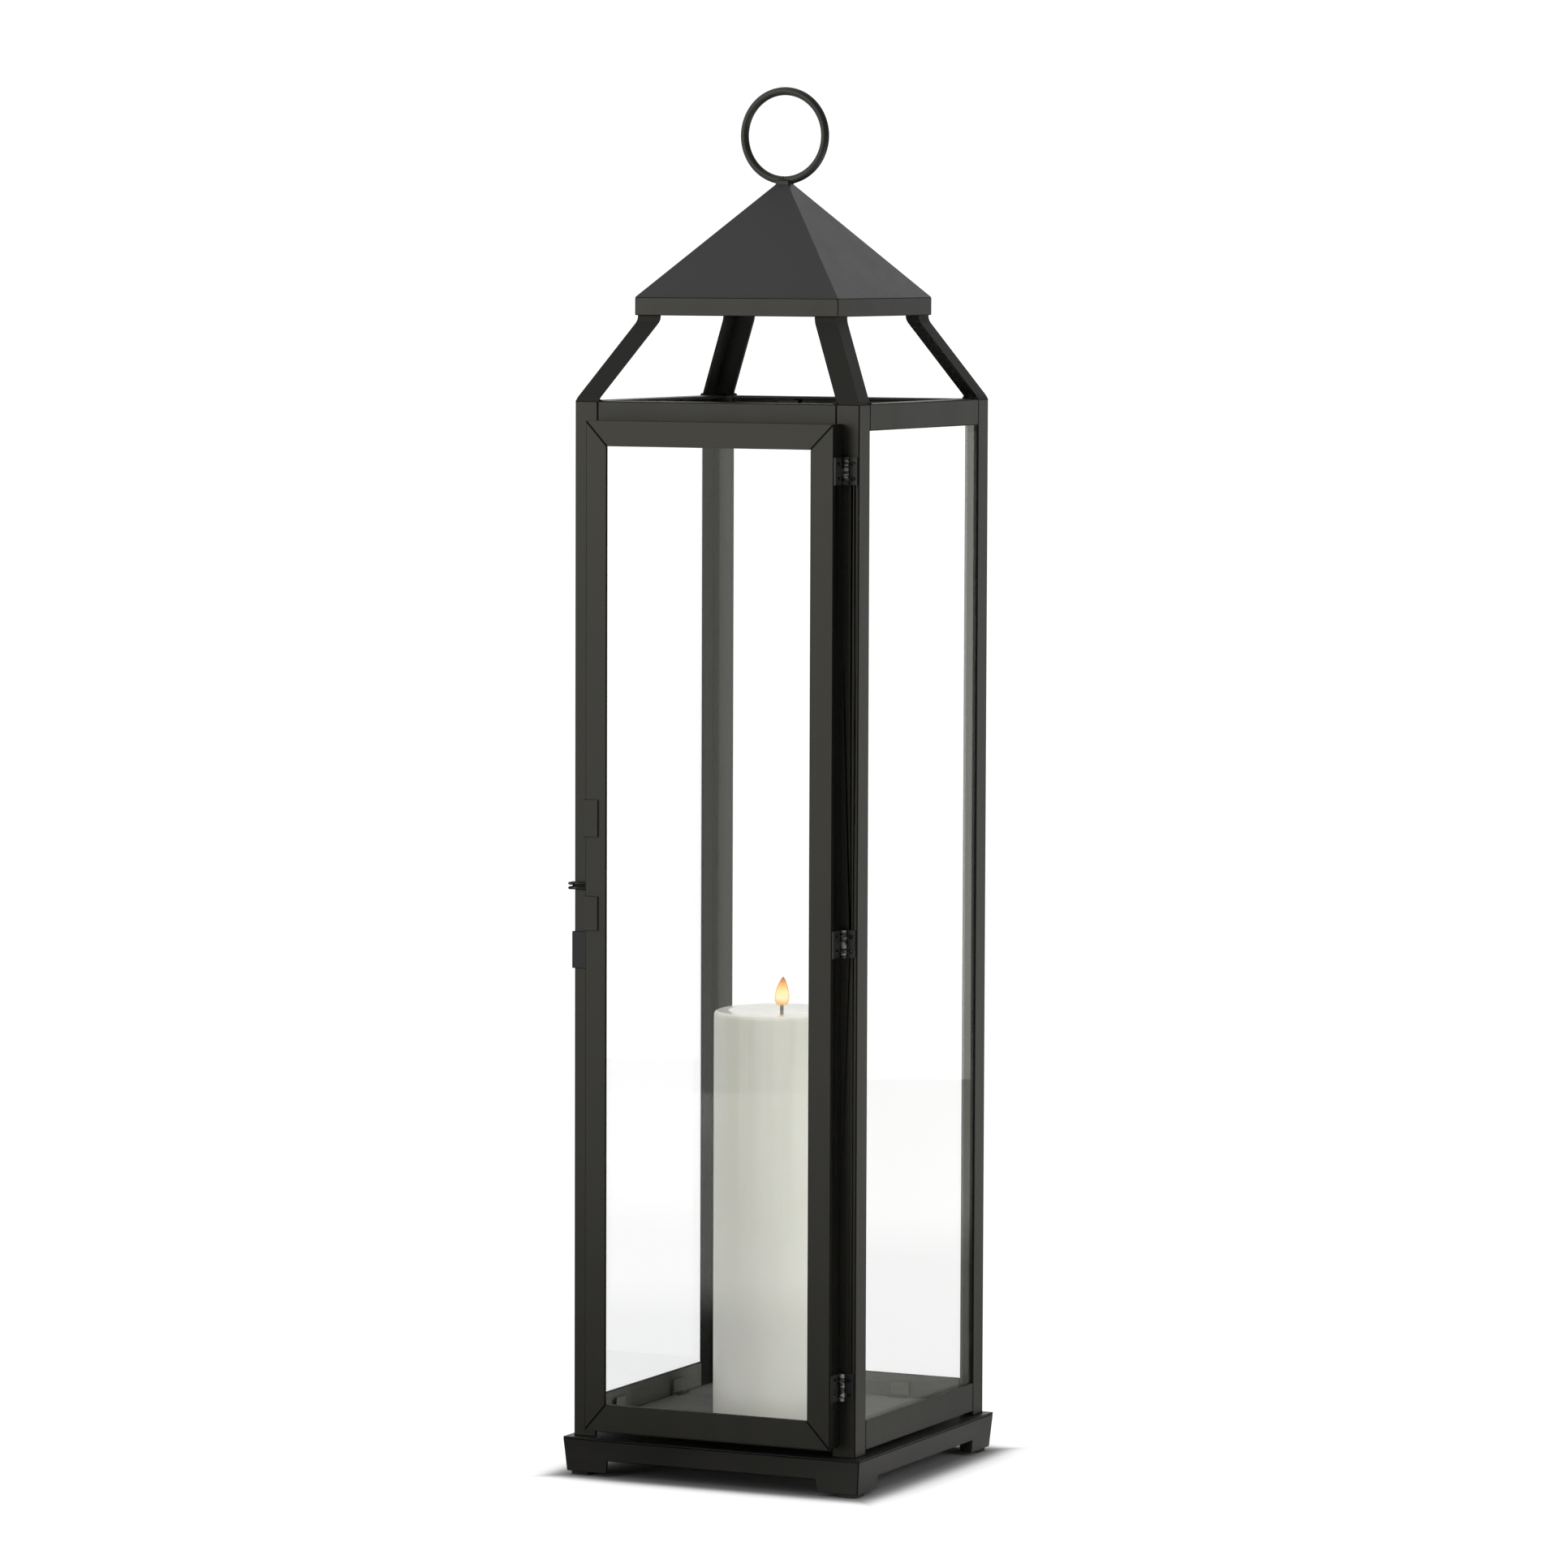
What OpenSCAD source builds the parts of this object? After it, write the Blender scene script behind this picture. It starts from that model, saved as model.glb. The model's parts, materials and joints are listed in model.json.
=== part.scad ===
// Tall square candle lantern with a hinged glass door.
// The lantern stands on the XY plane with +Z up. The origin is the centre of
// the body at the level of the feet. The door faces -Y and its hinges are on
// the +X side. All lengths are millimetres.

/* [Body] */
// Outside width of the square cage of posts and rails
body_w = 173; // [120:1:260]
// Height from the feet to the top of the upper rails
body_top = 598.5; // [300:0.5:700]
// Leg width of the angle steel used for posts and rails
leg = 14; // [10:0.5:20]
// Wall of the angle steel
wall = 1.5; // [1:0.1:2.5]
// Height of the lower rails
low_rail_h = 16; // [12:0.5:24]
// Height of the upper rails
top_rail_h = 14.5; // [12:0.5:24]

/* [Base] */
// Width of the base at its upper edge
base_w = 182; // [140:1:280]
// How far the skirt leans in at its lower edge, on each side
skirt_lean = 1.6; // [0:0.05:4]
// Height of the upper face of the base
base_top = 21.5; // [14:0.5:40]
// How far the rubber feet stand below the skirt
foot_drop = 2; // [1:0.5:4]
// Length of each bracket foot along the skirt
foot_len = 27; // [18:1:40]
// Height of the cut-out between the bracket feet
cut_h = 7; // [4:0.5:12]

/* [Roof] */
// Outside width of the square rim
rim_w = 124; // [90:1:180]
// Height of the lower edge of the rim
rim_z = 645.5; // [500:0.5:760]
// Depth of the rim band
rim_h = 10; // [6:0.5:20]
// Height of the pyramid above the rim
roof_rise = 61.5; // [40:0.5:100]
// Half width of the flat at the top of the pyramid
neck_r = 4.8; // [3:0.1:8]
// Sheet thickness of the roof, rim and skirt
sheet = 1.2; // [0.8:0.1:2]

/* [Hanging ring] */
// Outside diameter of the ring
ring_d = 54; // [40:1:80]
// Wire thickness of the ring
ring_wire = 4.6; // [3:0.1:6]

/* [Door] */
// Left edge of the door, on the latch side
door_x0 = -73.5; // [-90:0.5:-60]
// Right edge of the door, on the hinge side
door_x1 = 77; // [60:0.5:90]
// Lower edge of the door
door_z0 = 27.5; // [22:0.5:60]
// Upper edge of the door
door_z1 = 588; // [400:0.5:700]
// Width of the upright door member on the hinge side
stile_w = 14; // [10:0.5:20]
// Width of the upright door member on the latch side
latch_stile_w = 13; // [10:0.5:20]
// Height of the upper door member
door_top_h = 14; // [10:0.5:20]
// Height of the lower door member
door_low_h = 15; // [10:0.5:20]
// Depth of the door frame in front of the posts
door_depth = 12.2; // [8:0.1:16]

/* [Glass] */
// Thickness of the panes
glass_t = 2; // [1.5:0.5:4]

/* [Candle] */
// Diameter of the pillar candle
candle_d = 76.2; // [50:0.1:80]
// Height of the pillar candle
candle_h = 228.6; // [75:0.1:300]

/* [Hidden] */
$fn = 64;
eps = 0.5;
far = 400;

half = body_w / 2;
inner = half - wall;
bend_z0 = body_top - 2.5;
rail_len = body_w - 2 * leg;
rail_z = base_top + 3;

skirt_z0 = foot_drop;
plate_z0 = base_top - sheet;
foot_w = 12;
foot_r = 2.5;
cut_slope = 0.5;

floor_t = 1.5;
floor_z = rail_z + wall;
floor_top = floor_z + floor_t;
floor_w = body_w - 9;

pane_z0 = floor_z;
pane_z1 = body_top - wall - 1.5;
pane_out = inner;
pane_in = inner - glass_t;
clip_w = 12;
clip_t = 0.8;
clip_h = 9;
clip_foot = 5;

roof_z0 = rim_z + rim_h;
neck_z0 = roof_z0 + roof_rise;
neck_h = 3;
neck_taper = 1.1;
neck_top_r = neck_r - 1;
ring_z = neck_z0 + neck_taper + ring_d / 2;
ring_gap = 2;
roof_run = rim_w / 2 - neck_r;
roof_tilt = atan2(roof_rise, roof_run);
roof_slope = sqrt(roof_rise * roof_rise + roof_run * roof_run);

strut_out = half;
strut_leg_w = leg - 0.5;
strut_in = rim_w / 2 - sheet;
strut_tilt = 30.2;
bend_low = 10;
bend_up = 8;
bend_steps = 6;
strut_run = strut_out - strut_in - (bend_low + bend_up) * (1 - cos(strut_tilt));
bend_z = bend_z0 + (bend_low + bend_up) * sin(strut_tilt) + strut_run / tan(strut_tilt);
strut_top = roof_z0 - 0.5;

door_gap = 0.4;
door_y1 = -half - door_gap;
door_y0 = door_y1 - door_depth;
glass_y0 = door_y0 + wall;
glass_y1 = glass_y0 + glass_t;
glass_edge = wall + 0.3;
door_clip_h = 14;

pin_r = 1;
knuckle_r = 1.9;
run_fit = 0.05;
air = 0.3;
axis_x = door_x1 + knuckle_r + air;
axis_y = -half - knuckle_r - air;
hinge_z = [61, 305, 562.5];
hinge_h = 15;
mid_h = 5.2;
end_h = (hinge_h - mid_h) / 2 - air;
leaf_t = 1;
door_leaf_w = 10;
post_leaf_w = 6.4;
rivet_r = 1.3;
rivet_h = 0.45;
rivet_pitch = 8;

rod_r = 0.85;
rod_x = door_x0 - 2;
rod_y = door_y1 - 1.9;
sleeve_r = 1.85;
sleeve_wall = 0.9;
tab_t = 0.9;
tab_w = 8;
tab_low = [306.5, 19];
tab_up = [358.5, 20.5];
rod_z0 = 305.5;
rod_z1 = 380.5;
finger_z = 328.6;
finger_gap = 2.5;
finger_x = -half - 1.9;
finger_end = -half + 3;
keeper_z = 283.8;
keeper_h = 20.5;
keeper_w = 8.5;
keeper_t = 1;

wick_r = 1;
wick_h = 8;
pool_r = 30;
pool_deep = 2.5;
candle_z0 = floor_top;
candle_top = candle_z0 + candle_h;
edge_r = 2.5;

// ---- Shared shapes -------------------------------------------------------

// Turns a shape drawn for the front (-Y) side onto side n, counted towards +X
module on_side(n) {
  rotate([0, 0, 90 * n]) children();
}

// Keeps the part of a shape that lies in the front quarter of the square plan,
// so that neighbouring sheets meet in a mitre
module front_quarter() {
  intersection() {
    children();
    translate([0, 0, -eps])
      linear_extrude(height = 2 * far)
        polygon([[0, 0], [-far, -far], [far, -far]]);
  }
}

// Upright angle section with its corner at the origin and legs along +X and +Y
module angle_post(h) {
  linear_extrude(height = h)
    polygon([
      [0, 0], [leg, 0], [leg, wall], [wall, wall], [wall, leg], [0, leg]
    ]);
}

// Level angle along X, face at Y = 0, height h; the second leg runs inwards at
// the bottom, or at the top when up is true
module angle_rail(len, h, up) {
  shelf = up ? h - wall : 0;
  translate([-len / 2, 0, 0]) {
    cube([len, wall, h]);
    translate([0, 0, shelf]) cube([len, leg, wall]);
  }
}

// Moves a corner member, drawn with its corner at the origin, onto a post
module at_corner(n) {
  rotate([0, 0, 90 * n])
    translate([-half, -half, 0])
      children();
}

// Rivet with a low round head standing on the plane Z = 0
module rivet() {
  rivet_hole();
  intersection() {
    cylinder(r = rivet_r, h = rivet_h);
    translate([0, 0, rivet_h - 2 * rivet_r]) sphere(r = 2 * rivet_r);
  }
}

// Shank of a rivet, and the hole it fills in the leaf and the steel below
module rivet_hole() {
  translate([0, 0, -leaf_t - wall])
    cylinder(r = rivet_r / 2, h = leaf_t + wall);
}

// Places a rivet or its hole at the six places on the door's leaves
module at_door_rivets() {
  for (z = hinge_z, s = [-1, 1])
    translate([
      door_x1 + leaf_t, axis_y - door_leaf_w * 0.6, z + s * rivet_pitch / 2
    ])
      rotate([0, 90, 0]) children();
}

// Places a rivet or its hole at the six places on the post's leaves
module at_post_rivets() {
  for (z = hinge_z, s = [-1, 1])
    translate([
      axis_x + post_leaf_w * 0.64, -half - leaf_t, z + s * rivet_pitch / 2
    ])
      rotate([90, 0, 0]) children();
}

// ---- Base ----------------------------------------------------------------

// Flat sheet on top of the base, which the posts stand on
module base_plate() {
  color("#33322f")
    translate([-base_w / 2, -base_w / 2, plate_z0])
      cube([base_w, base_w, sheet]);
}

// One leaning side of the skirt, cut out between two bracket feet
module skirt_side() {
  low = base_w / 2 - skirt_lean;
  up = base_w / 2;
  span = base_w / 2 - foot_len;
  color("#33322f")
    front_quarter()
      difference() {
        rotate([90, 0, 90])
          linear_extrude(height = base_w, center = true)
            polygon([
              [-low, skirt_z0], [-up, plate_z0],
              [-up + sheet, plate_z0], [-low + sheet, skirt_z0]
            ]);
        translate([0, 0, skirt_z0])
          rotate([90, 0, 0])
            linear_extrude(height = base_w)
              polygon([
                [-span - cut_slope, -eps], [span + cut_slope, -eps],
                [span, cut_h], [-span, cut_h]
              ]);
      }
}

// Four rubber blocks with rounded edges in the corners of the skirt, standing
// on the ground
module corner_feet() {
  inset = base_w / 2 - skirt_lean - sheet - 0.2;
  color("#151515")
    for (n = [0:3])
      rotate([0, 0, 90 * n])
        translate([-inset, -inset, 0])
          linear_extrude(height = plate_z0)
            union() {
              translate([foot_r, 0]) square([foot_w - 2 * foot_r, foot_w]);
              translate([0, foot_r]) square([foot_w, foot_w - 2 * foot_r]);
              for (x = [foot_r, foot_w - foot_r], y = [foot_r, foot_w - foot_r])
                translate([x, y]) circle(r = foot_r);
            }
}

// ---- Cage ----------------------------------------------------------------

// Corner post of angle steel, open towards the middle of the lantern; the
// front right one is drilled for the hinge rivets
module post(n) {
  color("#383734")
    difference() {
      at_corner(n)
        translate([0, 0, base_top]) angle_post(body_top - base_top);
      if (n == 1) at_post_rivets() rivet_hole();
    }
}

// Lower rail between two posts; its inner leg carries the pane and the floor
module low_rail(n) {
  color("#383734")
    on_side(n)
      translate([0, -half, rail_z]) angle_rail(rail_len, low_rail_h, false);
}

// Upper rail between two posts
module top_rail(n) {
  color("#383734")
    on_side(n)
      translate([0, -half, body_top - top_rail_h])
        angle_rail(rail_len, top_rail_h, true);
}

// Sheet floor that carries the candle, resting on the lower rails
module floor_plate() {
  color("#4a4946")
    translate([-floor_w / 2, -floor_w / 2, floor_z])
      cube([floor_w, floor_w, floor_t]);
}

// Fixed pane of the given width on side n
module pane(n, w) {
  color("#dfe8e6", 0.35)
    on_side(n)
      translate([-w / 2, -pane_out, pane_z0])
        cube([w, glass_t, pane_z1 - pane_z0]);
}

// Small bent tabs, two at the top and two at the bottom of each fixed pane
module pane_clips() {
  top_z = body_top - wall;
  color("#2a2927")
    for (n = [1:3], s = [-1, 1])
      on_side(n)
        translate([s * rail_len / 4 - clip_w / 2, -pane_in, 0]) {
          translate([0, 0, floor_top]) cube([clip_w, clip_t, clip_h]);
          translate([0, 0, floor_top]) cube([clip_w, clip_foot, clip_t]);
          translate([0, 0, top_z - clip_h]) cube([clip_w, clip_t, clip_h]);
          translate([0, 0, top_z - clip_t]) cube([clip_w, clip_foot, clip_t]);
        }
}

// ---- Struts --------------------------------------------------------------

// Outer line of a strut as distance from the lantern's centre plane and
// height: upright at the post, leaning inwards, upright again inside the rim.
// in_by moves the line inwards, square to itself.
function low_bend(in_by) = [
  for (i = [0:bend_steps])
    let (a = strut_tilt * i / bend_steps, r = bend_low - in_by)
      [strut_out - bend_low + r * cos(a), bend_z0 + r * sin(a)]
];
function up_bend(in_by) = [
  for (i = [0:bend_steps])
    let (a = strut_tilt * (1 - i / bend_steps), r = bend_up + in_by)
      [strut_in + bend_up - r * cos(a), bend_z - r * sin(a)]
];
function strut_line(in_by) = concat(
  low_bend(in_by), up_bend(in_by), [[strut_in - in_by, strut_top]]
);
function reversed(v) = [for (i = [len(v) - 1:-1:0]) v[i]];
function moved(v, by) = [for (p = v) [p[0] - by, p[1]]];

// Front leg of a strut: a strip beside the corner line, bent in profile to
// the same line
module strut_leg() {
  outer = strut_line(0);
  intersection() {
    rotate([90, 0, -90])
      linear_extrude(height = body_w, center = true)
        polygon(concat(outer, reversed(strut_line(wall))));
    mirror([1, 0, 0])
      rotate([90, 0, 0])
        linear_extrude(height = body_w)
          polygon(concat(outer, reversed(moved(outer, strut_leg_w))));
  }
}

// Strut of angle steel from a post top to the inside of the rim
module strut(n) {
  color("#343330")
    rotate([0, 0, 90 * n])
      difference() {
        union() {
          strut_leg();
          mirror([1, -1, 0]) strut_leg();
        }
        translate([-far, -far, 0]) cube([2 * far, 2 * far, body_top]);
      }
}

// ---- Roof ----------------------------------------------------------------

// One side of the upright band below the pyramid
module rim_side(n) {
  color("#343330")
    on_side(n)
      front_quarter()
        translate([-rim_w / 2, -rim_w / 2, rim_z])
          cube([rim_w, sheet, rim_h]);
}

// One triangular sheet of the pyramid, mitred along the hips
module roof_side(n) {
  color("#3a3936")
    on_side(n)
      front_quarter()
        intersection() {
          translate([0, -rim_w / 2, roof_z0])
            rotate([roof_tilt, 0, 0])
              translate([-rim_w / 2, 0, -sheet])
                cube([rim_w, roof_slope, sheet]);
          translate([-rim_w / 2, -rim_w / 2, roof_z0])
            cube([rim_w, rim_w, roof_rise]);
        }
}

// Side view of the collar, drawn out along Y
module neck_slab() {
  rotate([90, 0, 0])
    linear_extrude(height = 2 * neck_r, center = true)
      polygon([
        [-neck_r, 0], [neck_r, 0], [neck_top_r, neck_taper], [neck_top_r, neck_h],
        [-neck_top_r, neck_h], [-neck_top_r, neck_taper]
      ]);
}

// Small square collar that closes the pyramid, narrows and carries the ring
module roof_neck() {
  color("#2b2a28")
    difference() {
      translate([0, 0, neck_z0])
        intersection() {
          neck_slab();
          rotate([0, 0, 90]) neck_slab();
        }
      translate([0, 0, ring_z])
        rotate([90, 0, 0])
          rotate_extrude()
            translate([(ring_d - ring_wire) / 2, 0]) circle(d = ring_wire);
    }
}

// Round wire bent to a circle; its ends meet over the collar
module hanging_ring() {
  color("#2b2a28")
    translate([0, 0, ring_z])
      rotate([90, 0, 0])
        rotate([0, 0, -90 + ring_gap / 2])
          rotate_extrude(angle = 360 - ring_gap)
            translate([(ring_d - ring_wire) / 2, 0]) circle(d = ring_wire);
}

// ---- Door ----------------------------------------------------------------

// Keeps what lies behind the front outline given in X and Z
module door_outline(points) {
  intersection() {
    children();
    translate([0, door_y1, 0])
      rotate([90, 0, 0])
        linear_extrude(height = door_depth) polygon(points);
  }
}

// Angle steel of the upright on the latch side, mitred to the rails
module door_stile_latch() {
  color("#3a3936")
    door_outline([
      [door_x0, door_z0], [door_x0 + latch_stile_w, door_z0 + door_low_h],
      [door_x0 + latch_stile_w, door_z1 - door_top_h], [door_x0, door_z1]
    ])
      translate([door_x0, door_y0, door_z0]) {
        cube([latch_stile_w, wall, door_z1 - door_z0]);
        cube([wall, door_depth, door_z1 - door_z0]);
      }
}

// Angle steel of the upright on the hinge side, drilled for the rivets
module door_stile_hinge() {
  color("#3a3936")
    difference() {
      door_outline([
        [door_x1, door_z0], [door_x1, door_z1],
        [door_x1 - stile_w, door_z1 - door_top_h],
        [door_x1 - stile_w, door_z0 + door_low_h]
      ])
        translate([door_x1 - stile_w, door_y0, door_z0]) {
          cube([stile_w, wall, door_z1 - door_z0]);
          translate([stile_w - wall, 0, 0])
            cube([wall, door_depth, door_z1 - door_z0]);
        }
      at_door_rivets() rivet_hole();
    }
}

// Angle steel along the bottom of the door
module door_rail_low() {
  w = door_x1 - door_x0;
  color("#3a3936")
    door_outline([
      [door_x0, door_z0], [door_x1, door_z0],
      [door_x1 - stile_w, door_z0 + door_low_h],
      [door_x0 + latch_stile_w, door_z0 + door_low_h]
    ])
      translate([door_x0, door_y0, door_z0]) {
        cube([w, wall, door_low_h]);
        cube([w, door_depth, wall]);
      }
}

// Angle steel along the top of the door
module door_rail_top() {
  w = door_x1 - door_x0;
  color("#3a3936")
    door_outline([
      [door_x0, door_z1], [door_x0 + latch_stile_w, door_z1 - door_top_h],
      [door_x1 - stile_w, door_z1 - door_top_h], [door_x1, door_z1]
    ])
      translate([door_x0, door_y0, door_z1 - door_top_h]) {
        cube([w, wall, door_top_h]);
        translate([0, 0, door_top_h - wall]) cube([w, door_depth, wall]);
      }
}

// Pane of the door, behind the front legs of its frame
module door_glass() {
  color("#dfe8e6", 0.35)
    translate([door_x0 + glass_edge, glass_y0, door_z0 + glass_edge])
      cube([
        door_x1 - door_x0 - 2 * glass_edge, glass_t,
        door_z1 - door_z0 - 2 * glass_edge
      ]);
}

// Small bent tabs on the door's side legs that hold its pane from behind
module door_glass_clips() {
  rows = 3;
  color("#2a2927")
    for (i = [0:rows - 1]) {
      z = door_z0 + (door_z1 - door_z0) * (i + 0.5) / rows - door_clip_h / 2;
      translate([door_x0 + wall, glass_y1, z]) {
        cube([clip_foot, clip_t, door_clip_h]);
        cube([clip_t, clip_foot, door_clip_h]);
      }
      translate([door_x1 - wall, glass_y1, z]) {
        translate([-clip_foot, 0, 0])
          cube([clip_foot, clip_t, door_clip_h]);
        translate([-clip_t, 0, 0])
          cube([clip_t, clip_foot, door_clip_h]);
      }
    }
}

// ---- Hinges --------------------------------------------------------------

// Cylinder about the hinge axis, centred on the height z
module about_axis(z, r, h) {
  translate([axis_x, axis_y, z - h / 2]) cylinder(r = r, h = h);
}

// Leaf on the door's side with the middle knuckle, at the height z
module door_leaf(z) {
  difference() {
    union() {
      difference() {
        translate([door_x1, axis_y - door_leaf_w, z - hinge_h / 2])
          cube([leaf_t, door_leaf_w, hinge_h]);
        for (s = [-1, 1])
          about_axis(
            z + s * (mid_h + hinge_h) / 2, knuckle_r + air, hinge_h
          );
      }
      about_axis(z, knuckle_r, mid_h);
    }
    about_axis(z, pin_r + run_fit, hinge_h);
  }
}

// Leaf on the post's front with the two outer knuckles, at the height z
module post_leaf(z) {
  side = (hinge_h - end_h) / 2;
  difference() {
    union() {
      difference() {
        translate([axis_x, -half - leaf_t, z - hinge_h / 2])
          cube([post_leaf_w, leaf_t, hinge_h]);
        about_axis(z, knuckle_r + air, mid_h + 2 * air);
      }
      for (s = [-1, 1]) about_axis(z + s * side, knuckle_r, end_h);
    }
    about_axis(z, pin_r, hinge_h + eps);
  }
}

// The three leaves fixed to the door
module door_leaves() {
  color("#3c3b38")
    difference() {
      union()
        for (z = hinge_z) door_leaf(z);
      at_door_rivets() rivet_hole();
    }
}

// The three leaves fixed to the front right post
module post_leaves() {
  color("#3c3b38")
    difference() {
      union()
        for (z = hinge_z) post_leaf(z);
      at_post_rivets() rivet_hole();
    }
}

// Steel pins, held by the outer knuckles
module hinge_pins() {
  color("#b9b8b4")
    for (z = hinge_z) about_axis(z, pin_r, hinge_h);
}

// Two rivets through each door leaf
module door_rivets() {
  color("#8d8c88")
    at_door_rivets() rivet();
}

// Two rivets through each post leaf
module post_rivets() {
  color("#8d8c88")
    at_post_rivets() rivet();
}

// ---- Latch ---------------------------------------------------------------

// Sheet tab on the latch stile, wrapped round its edge and rolled into a
// sleeve for the latch wire; span holds its lower end and its height
module latch_tab(span) {
  color("#2e2d2b")
    translate([0, 0, span[0]])
      difference() {
        union() {
          translate([door_x0 - tab_t, door_y0 - tab_t, 0])
            cube([tab_w + tab_t, tab_t, span[1]]);
          translate([door_x0 - tab_t, door_y0 - tab_t, 0])
            cube([tab_t, rod_y - door_y0 + tab_t, span[1]]);
          translate([rod_x, rod_y, 0]) cylinder(r = sleeve_r, h = span[1]);
        }
        translate([rod_x, rod_y, -eps])
          cylinder(r = rod_r + run_fit, h = span[1] + 2 * eps);
      }
}

// Bent sheet on the front left corner of the post, below the latch wire
module latch_keeper() {
  color("#242322")
    translate([-half - keeper_t, -half - keeper_t, keeper_z]) {
      cube([keeper_w + keeper_t, keeper_t, keeper_h]);
      cube([keeper_t, keeper_w + keeper_t, keeper_h]);
    }
}

// Straight round wire from point a to point b with ball ends
module wire(a, b) {
  d = b - a;
  len = norm(d);
  translate(a)
    rotate([0, acos(d[2] / len), atan2(d[1], d[0])])
      cylinder(r = rod_r, h = len);
  for (p = [a, b]) translate(p) sphere(r = rod_r);
}

// One wire: a rod that turns in the two sleeves, drawn out between them into
// a doubled finger that reaches round the corner of the post
module latch_wire() {
  up = finger_z + finger_gap;
  path = [
    [rod_x, rod_y, rod_z0],
    [rod_x, rod_y, finger_z],
    [finger_x, rod_y, finger_z],
    [finger_x, finger_end, finger_z],
    [finger_x, finger_end, up],
    [finger_x, rod_y, up],
    [rod_x, rod_y, up],
    [rod_x, rod_y, rod_z1]
  ];
  color("#55534f")
    union()
      for (i = [0:len(path) - 2]) wire(path[i], path[i + 1]);
}

// ---- Candle --------------------------------------------------------------

// Pillar candle with a softened rim and a shallow pool of wax
module candle() {
  r = candle_d / 2;
  bowl_r = (pool_r * pool_r + pool_deep * pool_deep) / (2 * pool_deep);
  color("#e9e5d2")
    difference() {
      translate([0, 0, candle_z0])
        rotate_extrude()
          union() {
            square([r - edge_r, candle_h]);
            square([r, candle_h - edge_r]);
            translate([r - edge_r, candle_h - edge_r])
              intersection() {
                circle(r = edge_r);
                square(edge_r);
              }
          }
      translate([0, 0, candle_top + bowl_r - pool_deep]) sphere(r = bowl_r);
      translate([0, 0, candle_top - 4 * pool_deep])
        cylinder(r = wick_r, h = 4 * pool_deep);
    }
}

// Wick set into the middle of the pool
module wick() {
  color("#2c2620")
    translate([0, 0, candle_top - 4 * pool_deep])
      cylinder(r = wick_r, h = 4 * pool_deep - pool_deep + wick_h);
}

// ---- Nodes ---------------------------------------------------------------

base_plate();
on_side(0) skirt_side();  // skirt_front
on_side(1) skirt_side();  // skirt_right
on_side(2) skirt_side();  // skirt_back
on_side(3) skirt_side();  // skirt_left
corner_feet();
floor_plate();
post(0);  // post_front_left
post(1);  // post_front_right
post(2);  // post_back_right
post(3);  // post_back_left
low_rail(0);  // low_rail_front
low_rail(1);  // low_rail_right
low_rail(2);  // low_rail_back
low_rail(3);  // low_rail_left
top_rail(0);  // top_rail_front
top_rail(1);  // top_rail_right
top_rail(2);  // top_rail_back
top_rail(3);  // top_rail_left
pane(1, 2 * (inner - 0.6));  // pane_right
pane(2, 2 * (pane_in - 0.3));  // pane_back
pane(3, 2 * (inner - 0.6));  // pane_left
pane_clips();
strut(0);  // strut_front_left
strut(1);  // strut_front_right
strut(2);  // strut_back_right
strut(3);  // strut_back_left
rim_side(0);  // rim_front
rim_side(1);  // rim_right
rim_side(2);  // rim_back
rim_side(3);  // rim_left
roof_side(0);  // roof_front
roof_side(1);  // roof_right
roof_side(2);  // roof_back
roof_side(3);  // roof_left
roof_neck();
hanging_ring();
door_stile_latch();
door_stile_hinge();
door_rail_low();
door_rail_top();
door_glass();
door_glass_clips();
door_leaves();
door_rivets();
post_leaves();
post_rivets();
hinge_pins();
latch_tab(tab_low);  // latch_tab_low
latch_tab(tab_up);  // latch_tab_up
latch_keeper();
latch_wire();
candle();
wick();
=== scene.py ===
# %% [markdown]
# # A tall candle lantern
#
# The lantern is a cage of black coated steel angle with four panes of clear glass, a hinged door,
# a hipped roof with a hanging ring, and one thick pillar candle. Its shapes and sizes come ready
# made from the imported frame. This lesson gives every piece its finish, adds the few things that
# only Blender can show (the flame, the weld under the ring and the weld beads at the struts), and
# sets the light and the camera. The first cell loads the frame and notes its box.

# %% Load the frame
import json
import math

import bmesh
import bpy
from mathutils import Matrix, Vector, noise


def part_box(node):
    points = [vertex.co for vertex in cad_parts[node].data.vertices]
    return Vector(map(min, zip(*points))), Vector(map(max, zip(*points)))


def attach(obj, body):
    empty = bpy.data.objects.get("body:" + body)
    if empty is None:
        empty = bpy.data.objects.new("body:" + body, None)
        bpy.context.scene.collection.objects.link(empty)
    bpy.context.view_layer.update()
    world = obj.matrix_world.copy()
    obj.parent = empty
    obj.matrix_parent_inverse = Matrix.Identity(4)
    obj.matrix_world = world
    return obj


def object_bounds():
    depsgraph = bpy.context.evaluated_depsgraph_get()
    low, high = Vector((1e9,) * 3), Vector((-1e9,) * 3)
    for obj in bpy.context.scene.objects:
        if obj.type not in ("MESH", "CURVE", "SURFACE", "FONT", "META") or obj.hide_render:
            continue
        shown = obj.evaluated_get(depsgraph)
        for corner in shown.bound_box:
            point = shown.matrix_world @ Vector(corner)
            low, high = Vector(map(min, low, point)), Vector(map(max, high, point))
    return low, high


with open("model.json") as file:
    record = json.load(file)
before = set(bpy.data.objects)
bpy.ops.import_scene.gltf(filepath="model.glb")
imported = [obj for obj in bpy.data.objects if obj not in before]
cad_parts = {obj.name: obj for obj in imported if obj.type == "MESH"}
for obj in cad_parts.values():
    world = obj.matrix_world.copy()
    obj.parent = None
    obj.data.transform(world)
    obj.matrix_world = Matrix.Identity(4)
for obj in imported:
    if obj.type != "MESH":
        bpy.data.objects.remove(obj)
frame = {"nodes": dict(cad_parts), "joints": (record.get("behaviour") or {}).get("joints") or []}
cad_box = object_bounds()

print("nodes:", len(frame["nodes"]), "box in metres:", [[round(c, 4) for c in p] for p in cad_box])
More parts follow.
